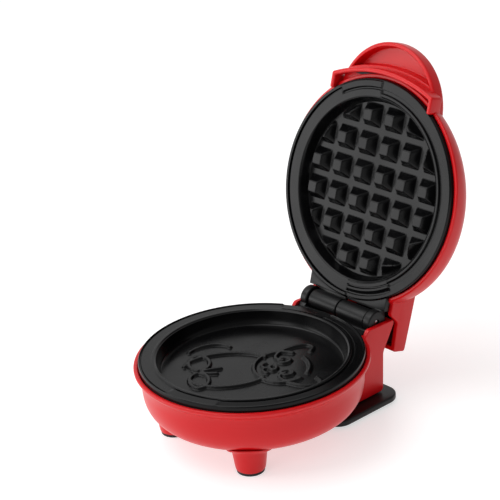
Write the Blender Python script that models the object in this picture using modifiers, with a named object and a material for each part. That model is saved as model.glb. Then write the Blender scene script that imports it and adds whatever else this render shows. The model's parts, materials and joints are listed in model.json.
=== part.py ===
# A compact clamshell waffle maker with its lid open at the stop.
# Metres, +Z up, front is -Y, hinge axis along X at the rear.
# The lid's pieces are drawn shut and hang on an empty on the hinge axis, which turns them open.
from math import atan2, cos, pi, radians, sin, sqrt

import bmesh
import bpy
from mathutils import Matrix, Vector

mm = 0.001

# Fits
touchGap = 0.3 * mm
boreGap = 0.1 * mm
plateGap = 0.6 * mm
frameGap = 2.8 * mm
overshoot = 1.0 * mm
reachThrough = 20.0 * mm
turnSteps = 40
barSteps = 24
smallSteps = 16
screwSteps = 12

# Overall
shellRadius = 61.2 * mm
bowlFloor = 9.8 * mm
bowlHeight = 34.8 * mm
domeHeight = 26.4 * mm
partingHeight = bowlFloor + bowlHeight

# Cooking plates
flangeRadius = shellRadius - 2.55 * mm
flangeThickness = 2.9 * mm
wellRadius = flangeRadius - 7.85 * mm
wellDepth = 8.2 * mm
wellTaper = 3.0 * mm
plateThickness = 2.2 * mm
latticeDepth = 6.5 * mm
latticeTaper = 4.2 * mm
studRows = 6
studPitch = wellRadius * 0.305
studBase = studPitch - 3.3 * mm
studTop = studBase - 6.4 * mm
studSetback = 1.3 * mm
studMargin = 1.0 * mm

# Housings
shellWall = 2.2 * mm
shellSteps = 9
rimDrop = 3.0 * mm
lipHeight = 1.8 * mm
lipTuck = 3.4 * mm
lipTuckDrop = 3.2 * mm
bowlRoundness = 3.9
domeLean = 0.25
domeRoundness = 3.0

# Hinge
openAngle = radians(107.0)
pinRadius = 1.5 * mm
barrelRadius = 5.5 * mm
hingeY = flangeRadius + barrelRadius + 1.85 * mm
barrelHalf = 20.6 * mm
barrelSplit = 0.25 * mm
lugRadius = barrelRadius + 1.0 * mm
lugStart = barrelHalf + 0.6 * mm
lugWidth = 4.8 * mm
webInset = 2.0 * mm
webDrop = 1.6 * mm
webSide = 0.15 * mm

# Rear column of the base
columnHalf = lugStart + lugWidth + 2.5 * mm
columnBottom = 5.3 * mm
columnRear = hingeY + 0.5 * mm
columnBulge = 1.1 * mm
columnFlare = barrelRadius + 3.1 * mm
columnFlareStart = partingHeight - barrelRadius - 11.6 * mm
columnTop = partingHeight - 1.2 * mm
columnFront = hingeY - 20.0 * mm
columnChamfer = 2.4 * mm
columnLip = 2.0 * mm
columnBevel = 0.9 * mm

# Lid tail over the hinge
tailHalf = columnHalf + 1.1 * mm
tailEnd = hingeY + 16.0 * mm
tailFront = hingeY - 26.0 * mm
tailRoof = partingHeight + 23.3 * mm
tailFall = 1.5 * mm
tailCorner = 2.0 * mm
tailSkirtFront = partingHeight + 10.7 * mm
tailSkirtRear = partingHeight + 13.8 * mm
tailBevel = 1.4 * mm

# Handle
handleRadius = 34.5 * mm
handleCentre = 17.2 * mm - shellRadius
handleLow = partingHeight + 5.4 * mm
handleThickness = 9.0 * mm
handleBevel = 2.6 * mm
pocketRim = 2.3 * mm
pocketWeb = 2.5 * mm
pocketDepth = 6.2 * mm
visorReach = shellRadius + 2.6 * mm
visorCurve = 92.0 * mm
visorHalf = 36.0 * mm
visorWall = 2.4 * mm
visorLow = partingHeight - 0.6 * mm
visorHigh = partingHeight + 7.4 * mm

# Frames inside the housings
frameInner = wellRadius + 1.8 * mm
frameOuter = shellRadius - frameGap
frameHeight = 3.2 * mm
frameLip = 1.1 * mm
frameTaper = 1.8 * mm
deckRear = flangeRadius + 0.65 * mm
deckFront = frameInner - 3.6 * mm
deckThickness = 3.6 * mm
deckRise = 0.9 * mm
lidDeckHalf = columnHalf - touchGap
deckBite = 0.2 * mm
troughInner = lugRadius + 0.5 * mm
troughWall = 1.5 * mm
troughRear = columnRear + 5.2 * mm

# Feet and cord wrap
legX = 29.5 * mm
legY = 30.2 * mm - shellRadius
legBottomRadius = 7.7 * mm
legSlope = 0.13
legTop = 26.0 * mm
padHeight = 1.3 * mm
padInset = 0.5 * mm
footHalf = columnHalf + 8.0 * mm
footFront = hingeY - 42.0 * mm
footRear = hingeY + 7.0 * mm
footLow = 1.2 * mm
footThickness = columnBottom - footLow - 0.5 * mm
footCorner = 9.0 * mm
footBevel = 0.8 * mm
footSink = 2.1 * mm
footScrewX = 17.0 * mm
footScrewY = columnRear - 10.0 * mm
footScrewBite = 4.5 * mm
rearPadX = 24.0 * mm
rearPadY = hingeY - 5.0 * mm
rearPadRadius = 5.0 * mm

# Heating
elementRing = wellRadius * 0.65
elementRadius = 3.2 * mm
elementGap = 0.4 * mm
elementLegX = 8.0 * mm
elementLegEnd = wellRadius + 4.2 * mm
elementSteps = 28
panThickness = 0.8 * mm
basePanSpace = 2.3 * mm
basePanTaper = 5.2 * mm
lidPanSpace = 2.6 * mm
lidPanFoot = 0.727 * (shellRadius - shellWall)
basePanFlange = 2.4 * mm
lidPanFlange = 5.0 * mm
bossCircle = elementRing - 8.0 * mm
bossRadius = 3.2 * mm
bossHeight = 5.0 * mm
screwRadius = 1.4 * mm
screwHead = 2.7 * mm
screwHeadHeight = 1.8 * mm
screwBite = 2.8 * mm
screwClear = 0.3 * mm
slotHalf = 0.35 * mm
slotDepth = 0.8 * mm
clampWidth = 7.0 * mm
clampThickness = 0.8 * mm
clampHeel = 3.6 * mm
clampDraft = 0.2 * mm

# Small parts
thermostatRadius = 7.5 * mm
thermostatHeight = 5.6 * mm
thermostatY = -13.0 * mm
bladeX = 4.0 * mm
bladeHalf = 1.5 * mm
bladeThin = 0.4 * mm
bladeDrop = 2.0 * mm
fuseRadius = 2.2 * mm
fuseLength = 14.0 * mm
fuseY = 14.0 * mm
fuseLead = 0.5 * mm
blockHalf = 12.0 * mm
blockDepth = 8.0 * mm
blockLow = 24.0 * mm
blockHigh = 32.0 * mm
terminalPitch = 7.5 * mm
terminalRadius = 1.8 * mm
glandHeight = 17.0 * mm
glandRadius = 4.3 * mm
glandFlange = 6.5 * mm
glandFlangeDepth = 2.2 * mm
glandLength = 6.0 * mm
glandBore = 2.6 * mm
cordBarHalf = 11.0 * mm
cordBarDepth = 5.0 * mm
cordBarLow = 9.0 * mm
cordBarHigh = 15.0 * mm
cordGroove = 3.2 * mm
lensRadius = 3.0 * mm
lensHeight = 3.6 * mm
lensSink = 0.6 * mm
lensY = -28.0 * mm
lampRadius = 1.9 * mm
lampHeight = 2.4 * mm
ventWidth = 2.4 * mm
ventLength = 22.0 * mm
ventPitch = 7.0 * mm
ventY = -4.0 * mm
ventCount = 5

# Sizes that follow from the ones above
hingeZ = partingHeight
lidPlane = partingHeight + plateGap
baseRim = partingHeight - rimDrop
lidRim = lidPlane + rimDrop
domeTop = partingHeight + domeHeight
earHalf = columnHalf - shellWall
lugEnd = lugStart + lugWidth
plateUnder = partingHeight - wellDepth - plateThickness
latticePlane = lidPlane + latticeDepth
plateOver = latticePlane + plateThickness
baseElementZ = plateUnder - elementGap - elementRadius
lidElementZ = plateOver + elementGap + elementRadius
baseFlangeUnder = partingHeight - flangeThickness
lidFlangeOver = lidPlane + flangeThickness
baseFrameTop = baseFlangeUnder - touchGap
lidFrameBottom = lidFlangeOver + touchGap
basePanTop = baseFrameTop - frameHeight - touchGap
lidPanBottom = lidFrameBottom + frameHeight + touchGap
basePanInner = wellRadius + plateThickness
lidPanInner = wellRadius - latticeTaper + plateThickness + 1.6 * mm
lidPanTaper = lidPanInner - lidPanFoot
basePanDepth = basePanTop - baseElementZ + elementRadius + basePanSpace
lidPanDepth = lidElementZ - lidPanBottom + elementRadius + lidPanSpace
postTop = basePanTop - basePanDepth - panThickness - touchGap
plateScrewHead = bowlFloor + 0.8 * mm
legBottom = padHeight + touchGap
cutTop = hingeZ + reachThrough
bossAngles = [radians(90 + 120 * k) for k in range(3)]
bossSpots = [(bossCircle * cos(angle), bossCircle * sin(angle)) for angle in bossAngles]


def clearScene():
    for item in list(bpy.data.objects):
        bpy.data.objects.remove(item, do_unlink=True)


def newCollection(name):
    collection = bpy.data.collections.new(name)
    bpy.context.scene.collection.children.link(collection)
    return collection


def newEmpty(name, location, parent=None):
    empty = bpy.data.objects.new(name, None)
    partsCollection.objects.link(empty)
    empty.parent = parent
    empty.location = location
    return empty


def finish(item, colour, roughness, metallic=0.0, coat=0.0):
    material = bpy.data.materials.new(item.name)
    material.use_nodes = True
    shader = material.node_tree.nodes["Principled BSDF"]
    shader.inputs["Base Color"].default_value = (*colour, 1.0)
    shader.inputs["Roughness"].default_value = roughness
    shader.inputs["Metallic"].default_value = metallic
    shader.inputs["Coat Weight"].default_value = coat
    item.data.materials.clear()
    item.data.materials.append(material)
    item.data.shade_smooth()


def addObject(name, mesh, parent, cutter=False):
    item = bpy.data.objects.new(name, mesh)
    (cutterCollection if cutter else partsCollection).objects.link(item)
    item.parent = parent
    if parent is lidHinge:
        item.location = (0.0, -hingeY, -hingeZ)
    if cutter:
        item.hide_render = True
        item.display_type = "WIRE"
    return item


def newMesh(name, shape):
    mesh = bpy.data.meshes.new(name)
    shape.to_mesh(mesh)
    shape.free()
    return mesh


def turned(name, profile, parent, cutter=False, closed=True):
    # A profile of (radius, height) points turned about Z. An open profile is capped flat at its ends.
    shape = bmesh.new()
    spokes = [(cos(2 * pi * k / turnSteps), sin(2 * pi * k / turnSteps)) for k in range(turnSteps)]
    rings = [[shape.verts.new((r * c, r * d, z)) for c, d in spokes] for r, z in profile]
    pairs = list(zip(rings, rings[1:]))
    if closed:
        pairs.append((rings[-1], rings[0]))
    else:
        shape.faces.new(rings[0])
        shape.faces.new(rings[-1])
    for above, below in pairs:
        for k in range(turnSteps):
            n = (k + 1) % turnSteps
            shape.faces.new((above[k], above[n], below[n], below[k]))
    bmesh.ops.recalc_face_normals(shape, faces=shape.faces)
    return addObject(name, newMesh(name, shape), parent, cutter)


def box(name, low, high, parent, cutter=False):
    shape = bmesh.new()
    bmesh.ops.create_cube(shape, size=1.0)
    size = [b - a for a, b in zip(low, high)]
    middle = [(a + b) / 2 for a, b in zip(low, high)]
    bmesh.ops.scale(shape, vec=size, verts=shape.verts)
    bmesh.ops.translate(shape, vec=middle, verts=shape.verts)
    return addObject(name, newMesh(name, shape), parent, cutter)


def cone(name, start, end, startRadius, endRadius, parent, steps=smallSteps, cutter=False):
    # A round bar or taper from one point to another.
    shape = bmesh.new()
    line = Vector(end) - Vector(start)
    bmesh.ops.create_cone(
        shape,
        cap_ends=True,
        segments=steps,
        radius1=startRadius,
        radius2=endRadius,
        depth=line.length,
    )
    turn = line.to_track_quat("Z", "Y").to_matrix().to_4x4()
    place = Matrix.Translation((Vector(start) + Vector(end)) / 2) @ turn
    bmesh.ops.transform(shape, matrix=place, verts=shape.verts)
    return addObject(name, newMesh(name, shape), parent, cutter)


def cylinder(name, start, end, radius, parent, steps=smallSteps, cutter=False):
    return cone(name, start, end, radius, radius, parent, steps, cutter)


def upright(name, spot, low, high, radius, parent, steps=smallSteps):
    # A vertical round cutter.
    return cylinder(name, (*spot, low), (*spot, high), radius, parent, steps, True)


def hingeBar(name, left, right, radius, parent):
    # A round cutter on the hinge axis.
    return cylinder(name, (left, hingeY, hingeZ), (right, hingeY, hingeZ), radius, parent, barSteps, True)


def curveMesh(curve):
    # The curve's evaluated surface as a closed mesh.
    holder = bpy.data.objects.new(curve.name, curve)
    partsCollection.objects.link(holder)
    view = bpy.context.evaluated_depsgraph_get()
    shape = bmesh.new()
    shape.from_mesh(bpy.data.meshes.new_from_object(holder.evaluated_get(view)))
    bmesh.ops.remove_doubles(shape, verts=shape.verts, dist=0.000002)
    bmesh.ops.recalc_face_normals(shape, faces=shape.faces)
    bpy.data.objects.remove(holder, do_unlink=True)
    return newMesh(curve.name, shape)


def outline(name, points, low, high, parent, axis="Z", cutter=False):
    # A flat outline extruded from low to high along Z, or along X for points in Y and Z.
    curve = bpy.data.curves.new(name, "CURVE")
    curve.dimensions = "2D"
    curve.fill_mode = "BOTH"
    curve.extrude = (high - low) / 2
    spline = curve.splines.new("POLY")
    spline.points.add(len(points) - 1)
    for target, point in zip(spline.points, points):
        target.co = (point[0], point[1], 0.0, 1.0)
    spline.use_cyclic_u = True
    mesh = curveMesh(curve)
    place = Matrix.Translation((0.0, 0.0, (low + high) / 2))
    if axis == "X":
        swap = Matrix(((0, 0, 1, 0), (1, 0, 0, 0), (0, 1, 0, 0), (0, 0, 0, 1)))
        place = swap @ place
    mesh.transform(place)
    return addObject(name, mesh, parent, cutter)


def tube(name, points, radius, parent):
    curve = bpy.data.curves.new(name, "CURVE")
    curve.dimensions = "3D"
    curve.bevel_depth = radius
    curve.bevel_resolution = 2
    curve.use_fill_caps = True
    spline = curve.splines.new("POLY")
    spline.points.add(len(points) - 1)
    for target, point in zip(spline.points, points):
        target.co = (*point, 1.0)
    return addObject(name, curveMesh(curve), parent)


def combine(item, operation, *others):
    for other in others:
        step = item.modifiers.new(other.name, "BOOLEAN")
        step.operation = operation
        step.solver = "EXACT"
        step.object = other


def bevel(item, width, segments=2, angle=40):
    step = item.modifiers.new("Round", "BEVEL")
    step.width = width
    step.segments = segments
    step.limit_method = "ANGLE"
    step.angle_limit = radians(angle)


def lean(item, amount, level):
    # Slides each height of a turned shell rearwards in proportion to its distance from the rim.
    matrix = Matrix.Identity(4)
    matrix[1][2] = -amount
    matrix[1][3] = amount * level
    view = bpy.context.evaluated_depsgraph_get()
    mesh = bpy.data.meshes.new_from_object(item.evaluated_get(view))
    mesh.transform(matrix)
    item.modifiers.clear()
    item.data = mesh


def shellProfile(radius, rim, end, roundness):
    # A quarter superellipse from the rim to the flat end near the axis.
    points = []
    for i in range(shellSteps):
        angle = pi / 2 * i / shellSteps
        r = radius * abs(cos(angle)) ** (2 / roundness)
        z = rim + (end - rim) * sin(angle) ** (2 / roundness)
        points.append((r, z))
    return points


def bowlProfile(inset=0.0):
    # An upright lip, a shoulder that tucks in under it, and a body that rounds into a flat floor.
    radius = shellRadius - inset
    shoulder = baseRim - lipHeight + inset / 10
    body = shellProfile(radius - lipTuck, shoulder - lipTuckDrop, bowlFloor + inset, bowlRoundness)
    return [(radius, baseRim), (radius, shoulder)] + body


def arc(centre, radius, start, end, count):
    points = []
    for i in range(count + 1):
        angle = start + (end - start) * i / count
        points.append((centre[0] + radius * cos(angle), centre[1] + radius * sin(angle)))
    return points


def columnOutline(inset=0.0, top=columnTop):
    # Side view of the rear column: upright, then flaring rearwards under the hinge.
    rear = columnRear - inset
    low = columnBottom + inset
    flareTop = columnTop - columnLip
    points = [
        (columnFront, low),
        (rear - columnChamfer, low),
        (rear, low + columnChamfer),
        (rear + columnBulge, columnFlareStart + inset / 2),
        (rear + columnBulge + columnFlare, flareTop),
    ]
    if top > columnTop:
        points.append((rear + columnBulge + columnFlare, top))
    points.append((columnFront, top))
    return points


def tailOutline(inset=0.0, open_=False):
    # Side view of the tail: a near flat roof, an end wall and a skirt that rises to the rear.
    end = tailEnd - inset
    roof = tailRoof - inset
    rearLow = tailSkirtRear
    frontLow = tailSkirtFront
    if open_:
        rearLow = lidPlane
        frontLow = lidPlane
    return [
        (tailFront, frontLow),
        (end, rearLow),
        (end, roof - tailFall - tailCorner),
        (end - tailCorner, roof - tailFall),
        (tailFront, roof),
    ]


def visorArc(offset, half, count=10):
    # The visor's face from left to right: a flatter arc than the rim behind it.
    radius = visorCurve + offset
    centreY = visorCurve - visorReach
    swing = atan2(half, sqrt(radius * radius - half * half))
    return arc((0.0, centreY), radius, -pi / 2 - swing, -pi / 2 + swing, count)


def baseHousing():
    item = turned("base_housing", bowlProfile(), root, closed=False)
    inside = [(shellRadius - shellWall, cutTop)] + bowlProfile(shellWall)
    hollow = turned("bowl_hollow", inside, root, cutter=True, closed=False)
    column = outline("column", columnOutline(), -columnHalf, columnHalf, root, "X", True)
    bevel(column, columnBevel)
    columnHollow = outline(
        "column_hollow",
        columnOutline(shellWall, cutTop),
        -earHalf,
        earHalf,
        root,
        "X",
        True,
    )
    legs = []
    for side in (-1, 1):
        topRadius = legBottomRadius + legSlope * (legTop - legBottom)
        legs.append(
            cone(
                f"leg_{side}",
                (side * legX, legY, legBottom),
                (side * legX, legY, legTop),
                legBottomRadius,
                topRadius,
                root,
                barSteps,
                True,
            )
        )
    combine(item, "UNION", column, *legs)
    combine(item, "DIFFERENCE", hollow, columnHollow)
    posts = []
    bores = []
    headTop = plateScrewHead + screwHeadHeight + touchGap
    for k, spot in enumerate(bossSpots):
        posts.append(upright(f"post_{k}", spot, bowlFloor + shellWall / 2, postTop, bossRadius, root))
        bores.append(upright(f"post_bore_{k}", spot, 0, postTop + overshoot, screwRadius + screwClear, root))
        bores.append(upright(f"head_bore_{k}", spot, 0, headTop, screwHead + screwClear, root))
    combine(item, "UNION", *posts)
    combine(item, "DIFFERENCE", *bores)
    for side in (-1, 1):
        spot = (side * footScrewX, footScrewY)
        high = columnBottom + 2 * shellWall
        hole = upright(f"foot_hole_{side}", spot, 0, high, screwRadius + screwClear, root)
        combine(item, "DIFFERENCE", hole)
    inside = (0.0, columnRear - 2 * glandLength, glandHeight)
    outside = (0.0, columnRear + 2 * glandLength, glandHeight)
    gland = cylinder("gland_hole", inside, outside, glandRadius + touchGap, root, barSteps, True)
    combine(item, "DIFFERENCE", gland)
    for k in range(ventCount):
        x = (k - (ventCount - 1) / 2) * ventPitch
        slot = box(
            f"vent_{k}",
            (x - ventWidth / 2, ventY - ventLength / 2, 0.0),
            (x + ventWidth / 2, ventY + ventLength / 2, bowlFloor + 2 * shellWall),
            root,
            True,
        )
        combine(item, "DIFFERENCE", slot)
    finish(item, (0.62, 0.012, 0.016), 0.22, coat=0.5)


def baseFrame():
    top = baseFrameTop
    item = turned(
        "base_inner_frame",
        [
            (frameOuter, top),
            (frameOuter, top - frameLip),
            (frameOuter - frameTaper, top - frameHeight),
            (frameInner, top - frameHeight),
            (frameInner, top),
        ],
        root,
    )
    half = earHalf - touchGap
    deckTop = top + deckRise
    deckLow = deckTop - deckThickness
    troughOuter = troughInner + troughWall
    deck = box("base_deck", (-half, deckFront, deckLow), (half, hingeY, deckTop), root, True)
    pipe = hingeBar("trough", webSide - half, half - webSide, troughOuter, root)
    ceiling = box(
        "trough_top",
        (-columnHalf, hingeY - 2 * troughOuter, deckTop - webSide),
        (columnHalf, tailEnd, cutTop),
        root,
        True,
    )
    rearCut = box("trough_rear", (-columnHalf, troughRear, 0.0), (columnHalf, tailEnd, cutTop), root, True)
    combine(pipe, "DIFFERENCE", ceiling, rearCut)
    bed = hingeBar("trough_bed", -columnHalf, columnHalf, troughInner, root)
    inner = turned(
        "base_well_cut",
        [
            (flangeRadius + touchGap, cutTop),
            (flangeRadius + touchGap, top),
            (frameInner, top),
            (frameInner, 0.0),
        ],
        root,
        cutter=True,
        closed=False,
    )
    combine(item, "UNION", deck, pipe)
    combine(item, "DIFFERENCE", bed, inner)
    webRear = hingeY - webInset
    barrel = hingeBar("base_barrel", barrelSplit, barrelHalf, barrelRadius, root)
    web = box(
        "base_barrel_web",
        (barrelSplit + webSide, deckRear - deckBite, top - webDrop),
        (barrelHalf - webSide, webRear, deckTop - deckBite),
        root,
        True,
    )
    lug = hingeBar("base_lug", -lugEnd, -lugStart, lugRadius, root)
    lugWeb = box(
        "base_lug_web",
        (webSide - lugEnd, deckRear - deckBite, top - webDrop),
        (-webSide - lugStart, webRear, deckTop + deckBite),
        root,
        True,
    )
    combine(item, "UNION", barrel, web, lug, lugWeb)
    combine(item, "DIFFERENCE", hingeBar("base_bore", -columnHalf, columnHalf, pinRadius + boreGap, root))
    finish(item, (0.012, 0.012, 0.013), 0.42)


def lowerPlate():
    floor = partingHeight - wellDepth
    wellFoot = wellRadius - wellTaper
    outer = wellRadius + plateThickness - 0.4 * mm
    item = turned(
        "lower_plate",
        [
            (wellFoot, floor),
            (wellRadius, partingHeight),
            (flangeRadius, partingHeight),
            (flangeRadius, baseFlangeUnder),
            (outer, baseFlangeUnder),
            (outer - 1.4 * mm, plateUnder + 1.2 * mm),
            (outer - 2.6 * mm, plateUnder),
        ],
        root,
        closed=False,
    )
    addBosses(item, "lower", plateUnder + overshoot, plateUnder - bossHeight, root)
    finish(item, (0.010, 0.010, 0.011), 0.36, 0.2)


def addBosses(item, name, start, end, parent):
    # Round bosses behind a plate, each with a blind bore for its screw.
    bore = screwRadius + screwClear / 2
    for k, spot in enumerate(bossSpots):
        inner = start + (end - start) * 0.3
        beyond = end + (end - start) * 0.3
        combine(item, "UNION", upright(f"{name}_boss_{k}", spot, start, end, bossRadius, parent))
        combine(item, "DIFFERENCE", upright(f"{name}_boss_bore_{k}", spot, inner, beyond, bore, parent))


def studField():
    # Four-sided tapered studs on a square grid, hanging from the lattice plane, trimmed to the well.
    shape = bmesh.new()
    low = lidPlane + studSetback
    high = latticePlane + plateThickness / 2
    slope = (studBase - studTop) / (latticePlane - low)
    wide = studBase + slope * (high - latticePlane)
    reach = wellRadius - latticeTaper - studMargin
    for i in range(studRows):
        for j in range(studRows):
            x = (i - (studRows - 1) / 2) * studPitch
            y = (j - (studRows - 1) / 2) * studPitch
            if sqrt(x * x + y * y) > reach + studBase / 4:
                continue
            place = Matrix.Translation((x, y, (low + high) / 2)) @ Matrix.Rotation(pi / 4, 4, "Z")
            bmesh.ops.create_cone(
                shape,
                cap_ends=True,
                segments=4,
                radius1=studTop / sqrt(2),
                radius2=wide / sqrt(2),
                depth=high - low,
                matrix=place,
            )
    field = addObject("stud_field", newMesh("stud_field", shape), lidHinge, True)
    trim = upright("stud_trim", (0, 0), low - overshoot, high + overshoot, reach, lidHinge, turnSteps)
    combine(field, "INTERSECT", trim)
    return field


def upperPlate():
    foot = wellRadius - latticeTaper
    item = turned(
        "upper_plate",
        [
            (foot + 1.2 * mm, plateOver),
            (wellRadius + 1.6 * mm, lidFlangeOver),
            (flangeRadius, lidFlangeOver),
            (flangeRadius, lidPlane),
            (wellRadius, lidPlane),
            (foot, latticePlane),
        ],
        lidHinge,
        closed=False,
    )
    combine(item, "UNION", studField())
    addBosses(item, "upper", plateOver - overshoot, plateOver + bossHeight, lidHinge)
    finish(item, (0.010, 0.010, 0.011), 0.36, 0.2)


def heaterElement(name, height, parent):
    # A tube bent into an open ring whose two ends leave side by side to the rear.
    start = atan2(elementRing, elementLegX)
    gap = 2 * (pi / 2 - start)
    points = [(elementLegX, elementLegEnd, height)]
    for i in range(elementSteps + 1):
        angle = pi / 2 - gap / 2 - (2 * pi - gap) * i / elementSteps
        points.append((elementRing * cos(angle), elementRing * sin(angle), height))
    points.append((-elementLegX, elementLegEnd, height))
    item = tube(name, points, elementRadius, parent)
    finish(item, (0.30, 0.29, 0.27), 0.45, 0.9)


def reflectorPan(name, flangeEdge, depth, taper, direction, inner, flange, parent):
    # A thin pressed pan behind a plate: flange, sloping wall and flat bottom.
    t = panThickness
    deep = flangeEdge + direction * depth
    profile = [
        (inner - taper + t, deep + direction * t),
        (inner + t, flangeEdge + direction * t),
        (inner + flange, flangeEdge + direction * t),
        (inner + flange, flangeEdge),
        (inner, flangeEdge),
        (inner - taper, deep),
    ]
    if direction < 0:
        profile = profile[::-1]
    item = turned(name, profile, parent, closed=False)
    for k, spot in enumerate(bossSpots):
        bore = screwRadius + screwClear
        hole = upright(f"{name}_hole_{k}", spot, deep - 2 * t, deep + 2 * t, bore, parent)
        combine(item, "DIFFERENCE", hole)
    wide = elementRadius + overshoot
    for side in (-1, 1):
        height = baseElementZ if direction < 0 else lidElementZ
        slot = box(
            f"{name}_slot_{side}",
            (side * elementLegX - wide, inner - taper - overshoot, height - wide),
            (side * elementLegX + wide, inner + flange + overshoot, height + wide),
            parent,
            True,
        )
        combine(item, "DIFFERENCE", slot)
    finish(item, (0.62, 0.62, 0.62), 0.3, 1.0)


def elementClamps(name, seat, height, direction, parent):
    # Pressed tabs, one at each boss, that hold the element's ring against the plate.
    t = clampThickness
    tabTop = seat + direction * touchGap
    saddle = height + direction * (elementRadius + touchGap)
    near = elementRing - elementRadius - touchGap
    far = elementRing + elementRadius
    for k, angle in enumerate(bossAngles):
        profile = [
            (bossCircle - clampHeel, tabTop),
            (near - clampDraft, tabTop),
            (near, saddle),
            (far, saddle),
            (far, saddle + direction * t),
            (near - t, saddle + direction * t),
            (near - clampDraft - t, tabTop + direction * t),
            (bossCircle - clampHeel, tabTop + direction * t),
        ]
        item = outline(f"{name}_clamp_{k + 1}", profile, -clampWidth / 2, clampWidth / 2, parent)
        turn = Matrix(((1, 0, 0, 0), (0, 0, -1, 0), (0, 1, 0, 0), (0, 0, 0, 1)))
        item.data.transform(Matrix.Rotation(angle, 4, "Z") @ turn)
        bore = screwRadius + screwClear / 2
        hole = upright(f"{name}_clamp_hole_{k}", bossSpots[k], tabTop - 3 * t, tabTop + 3 * t, bore, parent)
        combine(item, "DIFFERENCE", hole)
        finish(item, (0.55, 0.55, 0.54), 0.35, 1.0)


def screw(name, head, height, tip, parent):
    # A pan head screw along the line from its head to its tip.
    head = Vector(head)
    tip = Vector(tip)
    line = (tip - head).normalized()
    seat = head + line * height
    item = cylinder(name, head, seat, screwHead, parent)
    shank = cylinder(f"{name}_shank", seat - line * touchGap, tip, screwRadius, parent, screwSteps, True)
    low = (-screwHead, -slotHalf, -slotDepth)
    slot = box(f"{name}_slot", low, (screwHead, slotHalf, slotDepth), parent, True)
    slot.data.transform(Matrix.Translation(head) @ line.to_track_quat("Z", "Y").to_matrix().to_4x4())
    combine(item, "UNION", shank)
    combine(item, "DIFFERENCE", slot)
    finish(item, (0.50, 0.50, 0.50), 0.3, 1.0)


def plateScrews():
    high = plateOver + bossHeight + 2 * touchGap + clampThickness + screwHeadHeight
    for k, spot in enumerate(bossSpots):
        tip = (*spot, plateUnder - bossHeight + screwBite)
        screw(f"plate_screw_{k + 1}", (*spot, plateScrewHead), screwHeadHeight, tip, root)
        tip = (*spot, plateOver + bossHeight - screwBite)
        screw(f"lid_screw_{k + 1}", (*spot, high), screwHeadHeight, tip, lidHinge)


def thermostat():
    # A bimetal thermostat disc with two blade terminals, under the lower pan.
    y = thermostatY
    low = postTop - thermostatHeight
    item = cylinder("thermostat", (0, y, postTop), (0, y, low), thermostatRadius, root, barSteps)
    for side in (-1, 1):
        x = side * bladeX
        blade = box(
            f"blade_{side}",
            (x - bladeHalf, y - bladeThin, low - bladeDrop),
            (x + bladeHalf, y + bladeThin, low + bladeDrop / 2),
            root,
            True,
        )
        combine(item, "UNION", blade)
    finish(item, (0.35, 0.34, 0.32), 0.4, 0.6)


def thermalFuse():
    z = postTop - fuseRadius
    half = fuseLength / 2
    item = cylinder("thermal_fuse", (-half, fuseY, z), (half, fuseY, z), fuseRadius, root)
    ends = ((-fuseLength, fuseY, z), (fuseLength, fuseY, z))
    combine(item, "UNION", cylinder("fuse_lead", *ends, fuseLead, root, 8, True))
    finish(item, (0.55, 0.53, 0.48), 0.4, 0.3)


def terminalBlock():
    rear = columnRear - 3 * mm
    front = rear - blockDepth
    middle = (blockLow + blockHigh) / 2
    item = box("terminal_block", (-blockHalf, front, blockLow), (blockHalf, rear, blockHigh), root)
    for k in range(3):
        x = (k - 1) * terminalPitch
        ends = ((x, front - overshoot, middle), (x, rear + overshoot, middle))
        combine(item, "DIFFERENCE", cylinder(f"terminal_{k}", *ends, terminalRadius, root, screwSteps, True))
    finish(item, (0.75, 0.73, 0.66), 0.5)


def cordGland():
    # A flanged bushing in the column's rear wall.
    face = columnRear + columnBulge + touchGap
    z = glandHeight
    length = 1.5 * glandLength
    ends = ((0, face - glandLength, z), (0, face + overshoot, z))
    item = cylinder("cord_gland", *ends, glandRadius, root, barSteps)
    ends = ((0, face, z), (0, face + glandFlangeDepth, z))
    flange = cylinder("gland_flange", *ends, glandFlange, root, barSteps, True)
    ends = ((0, face - length, z), (0, face + length, z))
    combine(item, "UNION", flange)
    combine(item, "DIFFERENCE", cylinder("gland_bore", *ends, glandBore, root, barSteps, True))
    finish(item, (0.015, 0.015, 0.015), 0.6)


def cordClamp():
    # A grooved bar across the column's inside that grips a cord.
    front = columnRear - 16.5 * mm
    rear = front + cordBarDepth
    item = box("cord_clamp", (-cordBarHalf, front, cordBarLow), (cordBarHalf, rear, cordBarHigh), root)
    ends = ((0, front - overshoot, cordBarHigh + overshoot), (0, rear + overshoot, cordBarHigh + overshoot))
    combine(item, "DIFFERENCE", cylinder("clamp_groove", *ends, cordGroove, root, smallSteps, True))
    finish(item, (0.02, 0.02, 0.02), 0.5)


def rearFoot():
    # The cord wrap plate under the column, which is also the rear foot.
    r = footCorner
    points = []
    corners = (
        (footHalf - r, footFront + r, -pi / 2),
        (footHalf - r, footRear - r, 0.0),
        (-footHalf + r, footRear - r, pi / 2),
        (-footHalf + r, footFront + r, pi),
    )
    for x, y, start in corners:
        points += arc((x, y), r, start, start + pi / 2, 6)
    item = outline("rear_foot_plate", points, footLow, footLow + footThickness, root)
    bevel(item, footBevel)
    for side, word in ((-1, "left"), (1, "right")):
        spot = (side * footScrewX, footScrewY)
        hole = upright(f"foot_bore_{side}", spot, 0, 2 * columnBottom, screwRadius + screwClear, root)
        sink = upright(f"foot_sink_{side}", spot, 0, footLow + footSink, screwHead + screwClear, root)
        combine(item, "DIFFERENCE", hole, sink)
        head = (*spot, footLow + footSink - touchGap - screwHeadHeight)
        screw(f"foot_screw_{word}", head, screwHeadHeight, (*spot, columnBottom + footScrewBite), root)
    finish(item, (0.015, 0.015, 0.016), 0.45)


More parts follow.
